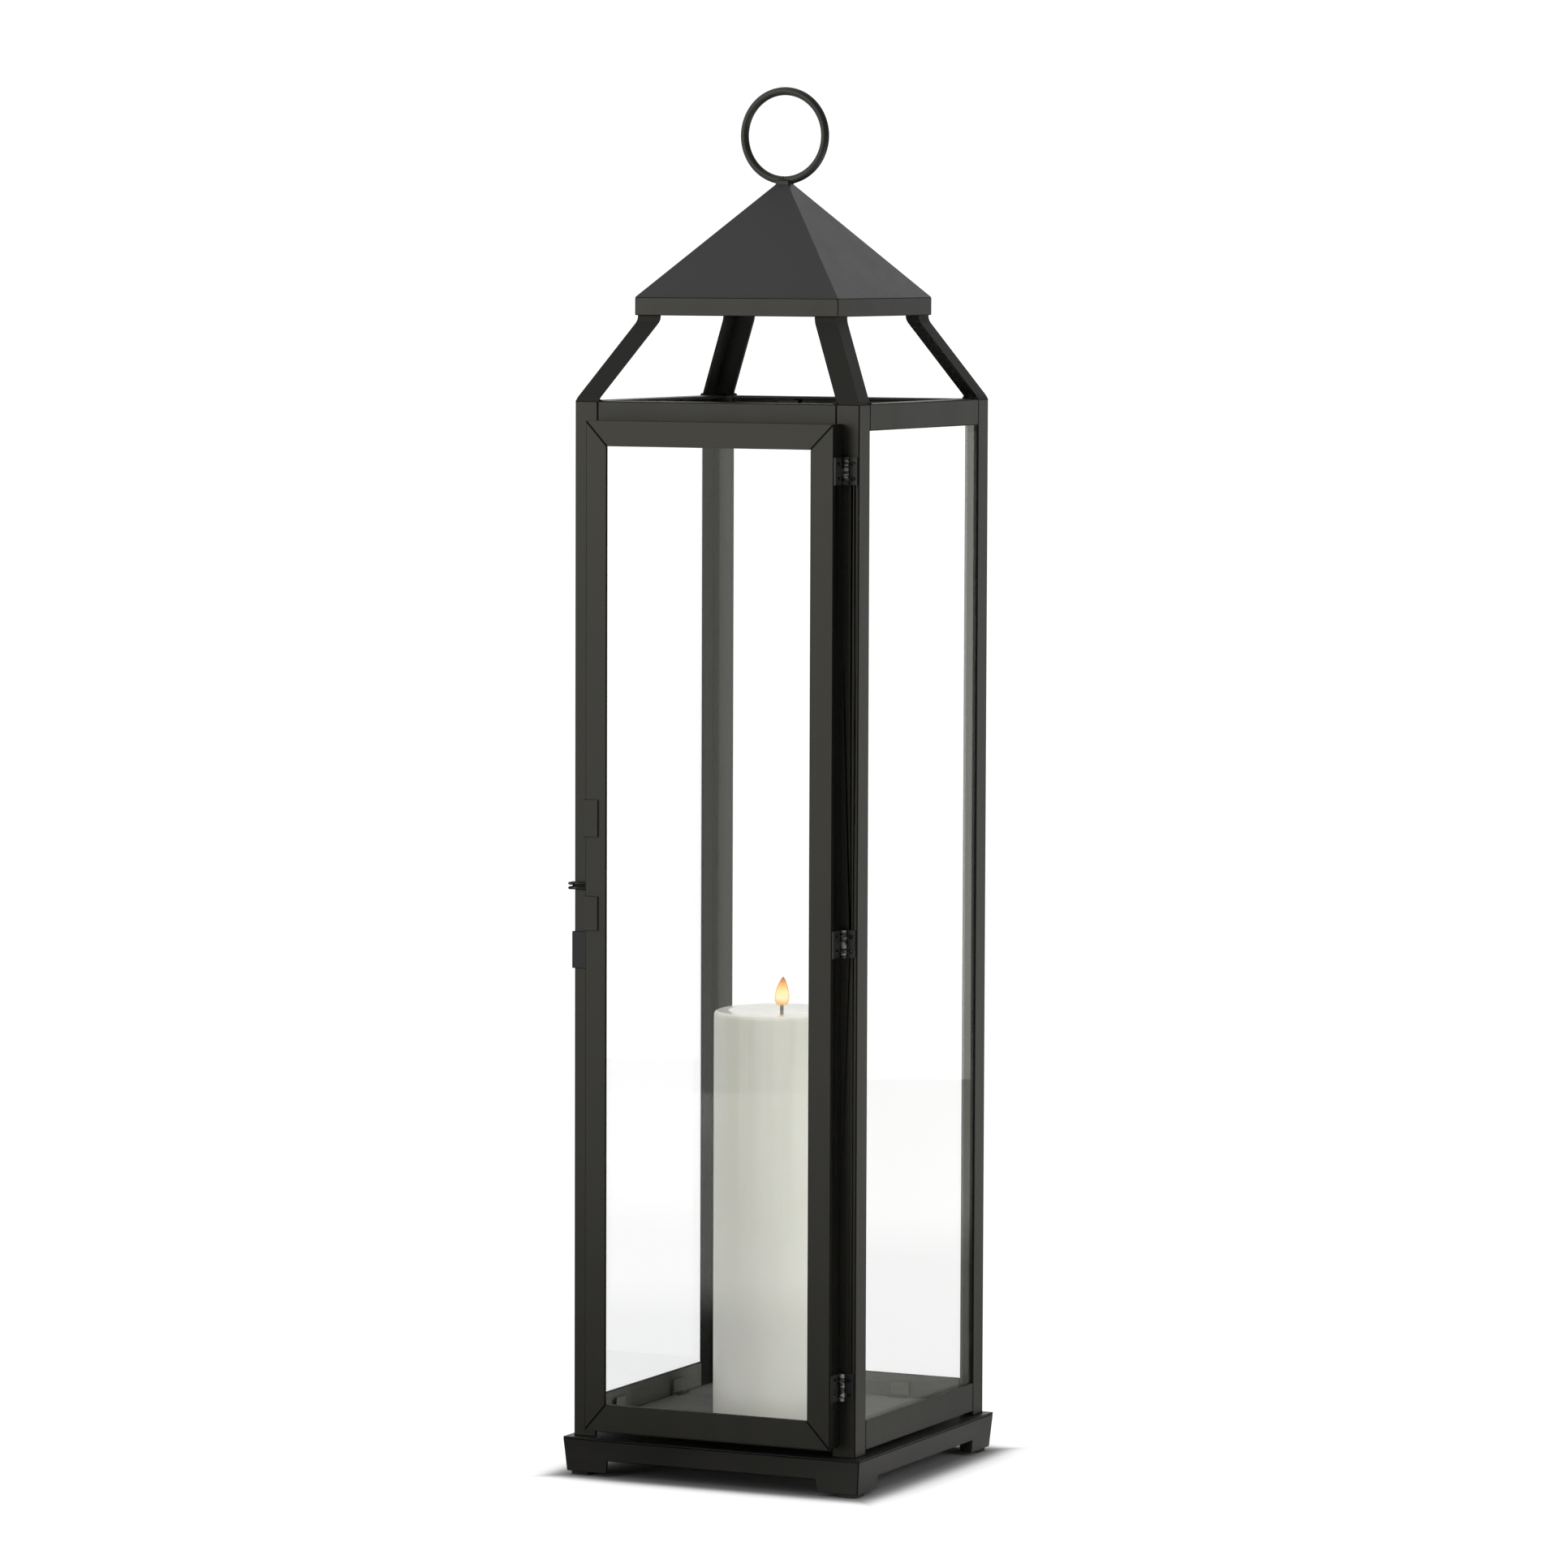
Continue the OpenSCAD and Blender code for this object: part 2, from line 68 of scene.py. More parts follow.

# %% [markdown]
# ## Camera
#
# The lantern is seen from its front right, a little above its middle, from far away, so its
# uprights stay almost parallel. A camera's place could be found by dragging it about; here it is
# set by four plain numbers, the turn round the lantern, the tilt, the distance and the height, and
# its axes are built from them. A long lens goes with the distance. There is no shift.

# %% Place the camera
TURN, TILT, LEAN = math.radians(25.44), math.radians(4.423), math.radians(0.2)
eye = Vector((1.707, -3.5867, 0.6907))
ahead = Vector((-math.sin(TURN) * math.cos(TILT), math.cos(TURN) * math.cos(TILT), -math.sin(TILT)))
level = Vector((math.cos(TURN), math.sin(TURN), 0))
upright = level.cross(ahead)
right = math.cos(LEAN) * level + math.sin(LEAN) * upright
up = math.cos(LEAN) * upright - math.sin(LEAN) * level
camera_data = bpy.data.cameras.new("camera")
camera_data.lens, camera_data.sensor_width = 163.3, 36
camera_data.clip_end = 60
camera = bpy.data.objects.new("camera", camera_data)
bpy.context.collection.objects.link(camera)
axes = Matrix((right, up, -ahead)).transposed().to_4x4()
camera.matrix_world = Matrix.Translation(eye) @ axes
bpy.context.scene.camera = camera
bpy.context.scene.view_settings.view_transform = "Standard"
print("camera is", round(eye.length, 2), "m from the lantern's foot")

# %% [markdown]
# ## A way to write shader maths
#
# A finish is a small network of nodes. Wiring nodes by hand hides the sum that they work out, so
# the class Wire wraps one socket and lets Python's own signs add the Math nodes: `1 - mask` makes
# a Subtract node. The class Finish owns a material. Its one method, node, makes any other node
# from its type, its settings, which are set first, and what goes into its sockets.

# %% Wires and finishes
class Wire:
    """One output socket of a finish, which takes part in sums."""

    def __init__(self, finish, socket):
        self.finish, self.socket = finish, socket

    def sum(self, operation, first, second):
        return self.finish.node("ShaderNodeMath", {"operation": operation}, {0: first, 1: second})

    def __add__(self, other):
        return self.sum("ADD", self, other)

    def __sub__(self, other):
        return self.sum("SUBTRACT", self, other)

    def __rsub__(self, other):
        return self.sum("SUBTRACT", other, self)

    def __mul__(self, other):
        return self.sum("MULTIPLY", self, other)

    def __pow__(self, other):
        return self.sum("POWER", self, other)

    __radd__ = __add__
    __rmul__ = __mul__


class Finish:
    """A material whose nodes are made in Python."""

    def __init__(self, name):
        self.material = bpy.data.materials.new(name)
        self.material.use_nodes = True
        self.tree = self.material.node_tree
        self.tree.nodes.clear()

    def node(self, kind, settings=None, sockets=None, out=0):
        made = self.tree.nodes.new(kind)
        for key, value in (settings or {}).items():
            if key == "stops":
                stops = made.color_ramp.elements
                while len(stops) < len(value):
                    stops.new(0.5)
                for stop, (where, colour) in zip(stops, value):
                    stop.position, stop.color = where, colour
            else:
                setattr(made, key, value)
        for key, value in (sockets or {}).items():
            if isinstance(value, Wire):
                self.tree.links.new(value.socket, made.inputs[key])
            else:
                made.inputs[key].default_value = value
        return Wire(self, made.outputs[out])

    def show(self, shader):
        out = self.tree.nodes.new("ShaderNodeOutputMaterial")
        self.tree.links.new(shader.socket, out.inputs["Surface"])
        return self.material


print("signs that add a Math node:", "+ - * **")

# %% [markdown]
# A few helpers are used by nearly every finish. `tint` makes a colour, `place` gives the point on
# the lantern in metres, stretched if a pattern has to run one way, and `cloud` is soft noise whose
# scale is in lumps per metre. `part` takes one axis of such a wire, so `height` is the height above
# the ground and `facing_up` is 1 on level tops, where dust settles and wax melts. `distance_from`
# measures from a point. `between` turns a 0 to 1 mask into a range of numbers, `sharpen` cuts a soft
# mask to a clearer one, `blend` mixes two colours by a mask and `bump` roughens the surface. Two
# masks are for this lantern alone: `facing_in` is 1 on low upright faces that look at the candle,
# and `facing_hinge` on faces that look to the hinge side.

# %% Helpers for patterns
def tint(red, green, blue):
    return (red, green, blue, 1.0)


def place(finish, stretch=(1, 1, 1)):
    here = finish.node("ShaderNodeTexCoord", out="Object")
    return finish.node("ShaderNodeVectorMath", {"operation": "MULTIPLY"}, {0: here, 1: stretch})


def part(finish, wire, axis):
    return finish.node("ShaderNodeSeparateXYZ", {}, {0: wire}, out=axis)


def height(finish):
    """Metres above the ground."""
    return part(finish, place(finish), "Z")


def cloud(finish, lumps, stretch=(1, 1, 1), detail=3.0, rough=0.55):
    return finish.node("ShaderNodeTexNoise", {"noise_dimensions": "3D"}, {
        "Vector": place(finish, stretch), "Scale": lumps, "Detail": detail, "Roughness": rough})


def between(mask, low, high):
    return mask * (high - low) + low


def sharpen(finish, mask, low, high):
    """0 below low, 1 above high, and smooth between."""
    return finish.node("ShaderNodeMapRange", {"interpolation_type": "SMOOTHSTEP"}, {
        "Value": mask, "From Min": low, "From Max": high})


def blend(finish, mask, dark, light):
    return finish.node("ShaderNodeMix", {"data_type": "RGBA"}, {
        "Factor": mask, 6: dark, 7: light}, out=2)


def bump(finish, relief, depth):
    """A bump of that depth in metres."""
    return finish.node("ShaderNodeBump", {}, {"Height": relief, "Distance": depth, "Strength": 1.0})


def normal(finish):
    return finish.node("ShaderNodeNewGeometry", out="Normal")


def distance_from(finish, middle, flat=(1, 1, 1)):
    """Metres from a point, or with flat=(1, 1, 0) from the upright line through it."""
    spot = tuple(c * f for c, f in zip(middle, flat))
    apart = finish.node("ShaderNodeVectorMath", {"operation": "SUBTRACT"}, {
        0: place(finish, flat), 1: spot})
    return finish.node("ShaderNodeVectorMath", {"operation": "LENGTH"}, {0: apart}, out="Value")


def facing_up(finish):
    return part(finish, normal(finish), "Z")


def facing_in(finish):
    """1 on upright faces that look at the candle, low down, where a painted reflection lies."""
    to_axis = finish.node("ShaderNodeVectorMath", {"operation": "NORMALIZE"}, {
        0: place(finish, (-1, -1, 0))})
    inward = finish.node("ShaderNodeVectorMath", {"operation": "DOT_PRODUCT"}, {
        0: to_axis, 1: normal(finish)}, out="Value")
    return sharpen(finish, inward, 0.1, 0.5) * sharpen(finish, height(finish), 0.10, 0.05)


# Places the painted shade on the door's side face by its hinges.
def facing_hinge(finish):
    return sharpen(finish, part(finish, normal(finish), "X"), 0.6, 0.8)


print("pattern helpers ready")

# %% [markdown]
# ## The black coat
#
# The steel is powder coated in a satin, slightly warm black. Up close such a coat has a fine
# orange peel skin about a millimetre across, soft clouds where it cured unevenly, faint rubbed
# strokes from handling, and a little dust on faces that look up. One flat near-black would look
# like a hole, so the colour, the roughness and the skin each get their own noise.
# The sheet parts of the roof are smoother and more neutral than the welded cage, and the base is
# handled most, so one function makes each of them from a few numbers. The floor plate is painted a
# light grey with almost no gloss: a painted reflection of the bright sky that it would mirror. The
# low faces of the rails and clips that look at the candle carry the same painted reflection. The
# side face of the door next to its hinges is painted near black: painted shade, where the post
# hides it from the light.

# %% Make the coat
def coat(name, colour, shine, streak=(1, 1, 0.12), dust=0.3, gleam=0.5, warm=0.88, painted_light_shade=None):
    finish = Finish(name)
    clouds = cloud(finish, 9.0, detail=4.0)
    strokes = cloud(finish, 60.0, stretch=streak, detail=5.0, rough=0.65)
    peel = cloud(finish, 1100.0, detail=1.0)
    specks = cloud(finish, 420.0, detail=2.0, rough=0.7)
    dull = tuple(c * 0.72 for c in colour)
    body = blend(finish, sharpen(finish, clouds * 0.6 + strokes * 0.4, 0.36, 0.64),
                 tint(*dull), tint(*colour))
    settled = sharpen(finish, facing_up(finish), 0.6, 1.0) * sharpen(finish, specks, 0.5, 0.72)
    dust_and_painted_light_shade = blend(finish, settled * dust, body, tint(0.10, 0.097, 0.090))
    gloss = between(clouds, shine - 0.05, shine + 0.05) + (strokes - 0.5) * 0.16 + settled * 0.2
    # The optional mask adds painted light or painted shade: a painted reflection on the low rails,
    # painted shade on the hinge side.
    if painted_light_shade:
        where, shade = painted_light_shade
        dust_and_painted_light_shade = blend(finish, where(finish) * between(specks, 0.7, 1.1), dust_and_painted_light_shade, tint(*shade))
    return finish.show(finish.node("ShaderNodeBsdfPrincipled", {}, {
        "Base Color": dust_and_painted_light_shade, "Roughness": gloss, "IOR": 1.5, "Specular IOR Level": gleam,
        "Specular Tint": tint(1.0, 0.985, warm),
        "Normal": bump(finish, peel + strokes * 0.4, 0.00002)}))


# The near black is painted shade on the door's hinge side face; the grey is a painted reflection on the
# low faces that look at the candle.
WARM_BLACK, COOL_BLACK, PAINTED_SHADE_BLACK = (0.014, 0.0135, 0.0105), (0.010, 0.010, 0.010), (0.001,) * 3
PAINTED_REFLECTION_GREY = (0.20, 0.20, 0.185)
cage_coat = coat("satin_black_cage", WARM_BLACK, 0.40)
roof_coat = coat("satin_black_roof", COOL_BLACK, 0.40, streak=(0.5, 0.5, 0.5), dust=0.1, gleam=0.45,
                 warm=1.0)
base_coat = coat("satin_black_base", (0.016, 0.0155, 0.014), 0.42, streak=(0.2, 0.2, 1))
low_coat = coat("satin_black_low_rails_painted_reflection", WARM_BLACK, 0.40, painted_light_shade=(facing_in, PAINTED_REFLECTION_GREY))
hinge_side_coat = coat("satin_black_hinge_stile_painted_shade", WARM_BLACK, 0.40, painted_light_shade=(facing_hinge, PAINTED_SHADE_BLACK))
# The floor plate's light grey is a painted reflection; its own gloss is turned almost off.
floor_coat = coat("satin_black_floor_painted_reflection", (0.14, 0.14, 0.131), 0.55, streak=(0.25, 1, 1), dust=0.3,
                  gleam=0.012)
strut_coat = coat("dull_black_struts", (0.008, 0.0078, 0.007), 0.50, gleam=0.22)
coats = (cage_coat, roof_coat, base_coat, low_coat, hinge_side_coat, floor_coat, strut_coat)
print("coats:", [made.name for made in coats])

# %% [markdown]
# Along every outline and joint of the cage runs a fine dark line, the shade in its edges and
# seams. A real small radius gives the line its place: a Bevel modifier rounds the edges, and gives
# the new faces a second material, a darker and duller coat with a few worn chips. Its dark colour
# is painted shade; the chips are wear.

# %% Make the edge of the coat
def dark_edge():
    finish = Finish("painted_shade_edge_of_coat")
    chips = sharpen(finish, cloud(finish, 700.0, detail=4.0, rough=0.7), 0.60, 0.70)
    patches = sharpen(finish, cloud(finish, 30.0, detail=2.0), 0.50, 0.75)
    worn = chips * patches
    # Dark colour: painted shade along edges and seams; the lighter chips are wear.
    colour = blend(finish, worn, tint(0.003, 0.003, 0.003), tint(0.10, 0.096, 0.088))
    return finish.show(finish.node("ShaderNodeBsdfPrincipled", {}, {
        "Base Color": colour, "Roughness": 0.5 - worn * 0.2, "Metallic": worn * 0.5,
        "Specular IOR Level": 0.12, "Normal": bump(finish, chips, 0.00001)}))


painted_shade_edge_coat = dark_edge()
print("edge finish:", painted_shade_edge_coat.name)

# %% [markdown]
# ## Glass
#
# The panes are 2 mm float glass. A solid glass shader bends light and blocks lamps, which leaves
# the inside dim and grainy at few samples. For a thin flat pane the bend can't be seen, so the
# pane is a see-through shader mixed with a mirror. Its faint film of soot and dust deepens towards
# the foot, its cut edges are green, and soft wipe marks change only how blurred the mirror is. The
# mirror's share is 4% face on and grows as the fifth power of the glance, which is Schlick's rule.
# A Fresnel node would be wrong here: it takes the pane's far face to be the inside of a solid, and
# turns it into a full mirror at a slant.

# %% Make the glass
FACE_ON = 0.04


def pane_glass():
    finish = Finish("clear_pane")
    wipes = cloud(finish, 14.0, stretch=(1, 1, 0.35), detail=3.0)
    marks = sharpen(finish, wipes, 0.5, 0.75)
    cut_edge = sharpen(finish, facing_up(finish), 0.5, 0.9)
    film = sharpen(finish, height(finish), 0.70, -0.10) * between(wipes, 0.8, 1.2)
    body = blend(finish, film, tint(0.998, 0.999, 1.0), tint(0.987, 0.988, 0.990))
    clear = finish.node("ShaderNodeBsdfTransparent", {}, {
        "Color": blend(finish, cut_edge, body, tint(0.35, 0.62, 0.50))})
    mirror = finish.node("ShaderNodeBsdfGlossy", {}, {
        "Color": tint(1.0, 1.0, 0.93), "Roughness": 0.015 + marks * 0.05})
    glance = finish.node("ShaderNodeLayerWeight", {}, {"Blend": 0.5}, out="Facing")
    share = FACE_ON + (1 - FACE_ON) * glance ** 5
    return finish.show(finish.node("ShaderNodeMixShader", {}, {0: share, 1: clear, 2: mirror}))


glass = pane_glass()
print("glass:", glass.name)

# %% [markdown]
# ## Bare steel and rubber
#
# The hinge pins are bare drawn steel. The rivets and the latch wire are the same steel, blackened
# with the cage, so they stay dark with lighter rubbed spots. Fine lines run round them all. The
# hinge knuckles were coated too, but they rub on each other each time the door moves, so the coat
# is worn to bright rings there and stays black between them. One mask does this: it is full near
# the hinge axis, which the frame's own joint gives. The feet are black rubber: matt, with a fine
# grain, and greyer where they have picked up dust.

# %% Make the bare steel and the rubber
def bare_steel(name, dark, light):
    finish = Finish(name)
    lines = cloud(finish, 500.0, stretch=(1, 1, 6), detail=3.0)
    spots = sharpen(finish, cloud(finish, 260.0, detail=3.0), 0.5, 0.68)
    return finish.show(finish.node("ShaderNodeBsdfPrincipled", {}, {
        "Base Color": blend(finish, spots, tint(*dark), tint(*light)),
        "Metallic": 1.0, "Roughness": between(lines, 0.22, 0.42),
        "Normal": bump(finish, lines, 0.00002)}))


def hinge_finish(axis):
    finish = Finish("rubbed_hinge")
    away = distance_from(finish, axis, flat=(1, 1, 0))
    rings = cloud(finish, 620.0, stretch=(0.3, 0.3, 1), detail=2.0)
    rubbed = sharpen(finish, away, 0.0022, 0.0018) * sharpen(finish, rings, 0.48, 0.62)
    return finish.show(finish.node("ShaderNodeBsdfPrincipled", {}, {
        "Base Color": blend(finish, rubbed, tint(0.010, 0.010, 0.009), tint(0.36, 0.35, 0.33)),
        "Metallic": rubbed, "Roughness": between(rings, 0.25, 0.45),
        "Normal": bump(finish, rings, 0.00004)}))


def rubber():
    finish = Finish("black_rubber")
    grain = cloud(finish, 1500.0, detail=3.0, rough=0.7)
    dust = sharpen(finish, cloud(finish, 90.0), 0.45, 0.75)
    return finish.show(finish.node("ShaderNodeBsdfPrincipled", {}, {
        "Base Color": blend(finish, dust, tint(0.012, 0.012, 0.012), tint(0.045, 0.043, 0.040)),
        "Roughness": between(grain, 0.7, 0.9), "Normal": bump(finish, grain, 0.00004)}))


hinge_axis = [joint["pos_m"] for joint in frame["joints"] if joint["name"] == "door_swing"][0]
steel = bare_steel("drawn_steel", (0.060, 0.058, 0.054), (0.30, 0.29, 0.27))
black_steel = bare_steel("blackened_steel", (0.020, 0.0195, 0.017), (0.075, 0.073, 0.066))
hinge_steel, foot_rubber = hinge_finish(hinge_axis), rubber()
print("small parts:", [made.name for made in (steel, black_steel, hinge_steel, foot_rubber)])

# %% [markdown]
# ## Wax and wick
#
# The candle is a cast pillar of ivory wax. Light goes a few millimetres into wax, so it has a
# little subsurface scattering. Cast wax cools in upright bands, faintly lighter and darker, and
# its skin has slight hollows. It is painted paler towards its foot, painted light where the lamps
# leave the low wax dim, and its top is smoother and paler where it has melted. The wick is braided
# cotton, charred where it has burned.

# %% Make the wax and the wick
def wax(name, dark, light, foot, shine):
    finish = Finish(name)
    bands = cloud(finish, 55.0, stretch=(1, 1, 0.03), detail=4.0, rough=0.6)
    mottle = cloud(finish, 38.0, stretch=(1, 1, 0.5), detail=3.0)
    mask = sharpen(finish, bands * 0.7 + mottle * 0.3, 0.36, 0.64)
    melted = sharpen(finish, facing_up(finish), 0.75, 0.97)
    # Paler towards the foot: painted light on the low wax.
    painted_light_foot = sharpen(finish, height(finish), 0.26, 0.02)
    side = blend(finish, painted_light_foot, blend(finish, mask, tint(*dark), tint(*light)), tint(*foot))
    return finish.show(finish.node("ShaderNodeBsdfPrincipled", {}, {
        "Base Color": blend(finish, melted, side, tint(0.86, 0.86, 0.80)),
        "Roughness": between(mottle, shine - 0.08, shine + 0.08) - melted * (shine - 0.14), "IOR": 1.44,
        "Subsurface Weight": 0.25, "Subsurface Radius": (1.0, 0.75, 0.5), "Subsurface Scale": 0.006,
        "Normal": bump(finish, mottle + bands * 0.3, 0.0002)}))


def burnt_cotton(char_from, char_to):
    finish = Finish("charred_cotton")
    braid = finish.node("ShaderNodeTexWave", {"wave_type": "BANDS", "bands_direction": "DIAGONAL"}, {
        "Vector": place(finish), "Scale": 420.0, "Distortion": 1.5})
    burnt = sharpen(finish, height(finish), char_from, char_to)
    return finish.show(finish.node("ShaderNodeBsdfPrincipled", {}, {
        "Base Color": blend(finish, burnt, tint(0.42, 0.36, 0.27), tint(0.17, 0.165, 0.155)),
        "Roughness": between(braid, 0.75, 0.95), "Normal": bump(finish, braid, 0.0002)}))


wick_low, wick_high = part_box("wick")
candle_low, candle_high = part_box("candle")
candle_wax = wax("cast_ivory_wax", (0.70, 0.70, 0.59), (0.82, 0.82, 0.73), (0.95, 0.95, 0.86), 0.42)
wick_cotton = burnt_cotton(candle_high[2] - 0.002, candle_high[2] + 0.001)
print("candle", round((candle_high[2] - candle_low[2]) * 1000), "mm tall, wick top at z",
      round(wick_high[2] * 1000), "mm")

# %% [markdown]
# ## Dress the frame
#
# Each node of the frame gets the finish of its own part. The coated parts also get the small edge
# radius, which is a modifier, so the frame's own mesh stays as it was packed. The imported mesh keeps
# each face's corners apart, and a Bevel finds no edge there, so a Weld modifier joins them first.
# The radius is kept under half of the sheet's thickness, or the bevels of its two faces would meet.

# %% Give every node its finish
FINISH_OF = {"pane": glass, "door_leaves": hinge_steel, "post_leaves": hinge_steel,
             "latch_keeper": roof_coat, "door_glass": glass, "roof": roof_coat, "skirt": base_coat,
             "base_plate": base_coat, "floor_plate": floor_coat, "low_rail": low_coat,
             "door_stile_hinge": hinge_side_coat, "strut": strut_coat,
             "corner_feet": foot_rubber, "post_rivets": black_steel, "door_rivets": black_steel,
             "hinge_pins": steel, "latch_wire": black_steel, "candle": candle_wax,
             "wick": wick_cotton}


def finish_for(node):
    if node in ("pane_clips", "door_glass_clips"):
        return low_coat
    fits = [key for key in FINISH_OF if node.startswith(key)]
    return FINISH_OF[max(fits, key=len)] if fits else cage_coat


def soften(piece, radius, steps=2):
    piece.modifiers.new("joined corners", "WELD").merge_threshold = 1e-6
    bevel = piece.modifiers.new("edge radius", "BEVEL")
    bevel.width, bevel.segments = radius, steps
    bevel.limit_method, bevel.angle_limit = "ANGLE", math.radians(35)
    bevel.material = 1
    bevel.use_clamp_overlap, bevel.harden_normals = True, True


def edge_radius(node):
    """In metres."""
    for radius, starts in ((0.0007, ("post_front", "post_back")),
                           (0.00055, ("low_rail", "top_rail", "door_stile", "door_rail")),
                           (0.0004, ("rim", "skirt", "base", "strut"))):
        if node.startswith(starts):
            return radius
    return 0.0002


counts = {}
for name, piece in frame["nodes"].items():
    finish = finish_for(name)
    for slot in piece.material_slots:
        slot.material = finish
    if not piece.material_slots:
        piece.data.materials.append(finish)
    if finish in coats and not name.startswith(("roof", "hanging_ring")):
        piece.data.materials.append(painted_shade_edge_coat)
        soften(piece, edge_radius(name))
    counts[finish.name] = counts.get(finish.name, 0) + 1
print("nodes per finish:", counts)

# %% [markdown]
# ## The flame
#
# A small candle flame is a drop of glowing gas: clear and bluish where it leaves the wick, pale
# yellow in the middle, orange at the tip and at its rim. It could be a volume, but that is slow
# and grainy. A turned drop-shaped skin whose glow fades by height and towards its rim looks
# right from every side. It leans a little, as a flame does in moving air, and rides on the candle.

# %% Build the flame
def turned(name, outline, sides, bend=0.0):
    """A closed skin turned round Z from (radius, height) pairs, with its top drifting along X."""
    build = bmesh.new()
    low, high = outline[0][1], outline[-1][1]
    rings = []
    for radius, height in outline[1:-1]:
        drift = bend * ((height - low) / (high - low)) ** 2
        rings.append([build.verts.new((radius * math.cos(2 * math.pi * k / sides) + drift,
                                       radius * math.sin(2 * math.pi * k / sides), height))
                      for k in range(sides)])
    foot, tip = build.verts.new((0, 0, low)), build.verts.new((bend, 0, high))
    for k in range(sides):
        after = (k + 1) % sides
        build.faces.new((foot, rings[0][after], rings[0][k]))
        build.faces.new((tip, rings[-1][k], rings[-1][after]))
        for under, over in zip(rings, rings[1:]):
            build.faces.new((under[k], under[after], over[after], over[k]))
    mesh = bpy.data.meshes.new(name)
    build.to_mesh(mesh)
    build.free()
    for face in mesh.polygons:
        face.use_smooth = True
    piece = bpy.data.objects.new(name, mesh)
    bpy.context.collection.objects.link(piece)
    return piece


def flame_glow(low, high):
    finish = Finish("candle_flame")
    rise = finish.node("ShaderNodeMapRange", {}, {
        "Value": height(finish), "From Min": low, "From Max": high})
    flicker = cloud(finish, 300.0, stretch=(1, 1, 0.4), detail=1.0)
    climb = rise + (flicker - 0.5) * 0.12
    core = finish.node("ShaderNodeValToRGB", {"stops": [
        (0.00, tint(0.50, 0.30, 0.30)), (0.12, tint(0.95, 0.52, 0.16)), (0.30, tint(1.0, 0.92, 0.56)),
        (0.52, tint(1.0, 0.90, 0.42)), (0.74, tint(1.0, 0.52, 0.16)), (1.00, tint(0.50, 0.12, 0.04))]},
        {"Fac": climb})
    rim = finish.node("ShaderNodeLayerWeight", {}, {"Blend": 0.5}, out="Facing")
    edge = finish.node("ShaderNodeValToRGB", {"stops": [
        (0.00, tint(0.95, 0.48, 0.12)), (0.45, tint(1.0, 0.62, 0.22)), (0.72, tint(0.80, 0.24, 0.08)),
        (1.00, tint(0.35, 0.10, 0.06))]}, {"Fac": climb})
    colour = blend(finish, sharpen(finish, rim, 0.25, 0.75), core, edge)
    solid = sharpen(finish, 1 - rim, 0.0, 0.35) * sharpen(finish, rise, 0.0, 0.12)
    clear = finish.node("ShaderNodeBsdfTransparent", {}, {"Color": tint(1, 1, 1)})
    glow = finish.node("ShaderNodeEmission", {}, {"Color": colour, "Strength": 1.05})
    return finish.show(finish.node("ShaderNodeMixShader", {}, {0: solid, 1: clear, 2: glow}))


FLAME_TALL, FLAME_WIDE = 0.017, 0.0042  # its height and its largest radius, in metres
DROP = [(0.0, 0.0), (0.50, 0.03), (0.80, 0.10), (0.96, 0.20), (1.0, 0.31), (0.95, 0.43), (0.84, 0.56),
        (0.68, 0.69), (0.48, 0.81), (0.28, 0.91), (0.12, 0.97), (0.0, 1.0)]
WICK_INSIDE = 0.0035
flame_foot = wick_high[2] - WICK_INSIDE
flame = turned("flame", [(r * FLAME_WIDE, h * FLAME_TALL) for r, h in DROP], 32, bend=0.0008)
wick_middle = [(a + b) / 2 for a, b in zip(wick_low, wick_high)]
flame.location = (wick_middle[0], wick_middle[1], flame_foot)
flame.data.materials.append(flame_glow(0.0, FLAME_TALL))
flame.visible_shadow = False
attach(flame, "candle")
print("flame from z", round(flame_foot * 1000, 1), "mm,", FLAME_TALL * 1000, "mm tall")

# %% [markdown]
# ## The welds
#
# The ring is a bent wire whose two ends meet on the collar, and a lump of weld closes them in. At
# the foot of each strut two small beads of weld run against the rails. Weld metal freezes in a
# rounded, uneven drop, so each one is a ball squeezed to its own three half sizes and roughened by
# noise. They ride the cage and take the dull coat of the struts.

# %% Drop the welds
def weld(name, spots):
    """Drops of weld metal from (centre, half sizes) pairs, in metres."""
    build = bmesh.new()
    for centre, halves in spots:
        for vert in bmesh.ops.create_icosphere(build, subdivisions=3, radius=1.0)["verts"]:
            push = 1 + 0.3 * noise.noise(vert.co * 1.6 + Vector(centre) * 700)
            vert.co = Vector([c + half * n * push for c, half, n in zip(centre, halves, vert.co)])
    mesh = bpy.data.meshes.new(name)
    build.to_mesh(mesh)
    build.free()
    for face in mesh.polygons:
        face.use_smooth = True
    mesh.materials.append(strut_coat)
    piece = bpy.data.objects.new(name, mesh)
    bpy.context.collection.objects.link(piece)
    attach(piece, "cage")


neck_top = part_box("roof_neck")[1][2]
weld("ring_weld", [
    ((0.0, 0.0, neck_top + 0.0002), (0.0046, 0.0034, 0.0016)),
    ((0.0030, -0.0016, neck_top - 0.0004), (0.0020, 0.0019, 0.0013))])
rail_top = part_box("top_rail_front")[1][2]
foot_in, foot_out = 0.0722, 0.0858  # the two sides of a strut's foot, from the lantern's middle
weld("strut_welds", [
    ((side * x, front * y, rail_top + 0.0002), (0.0014, 0.0014, 0.0010))
    for side in (-1, 1) for front in (-1, 1) for x, y in ((foot_in, foot_out), (foot_out, foot_in))])
print("welds at z", round(neck_top * 1000, 1), "and", round(rail_top * 1000, 1), "mm")

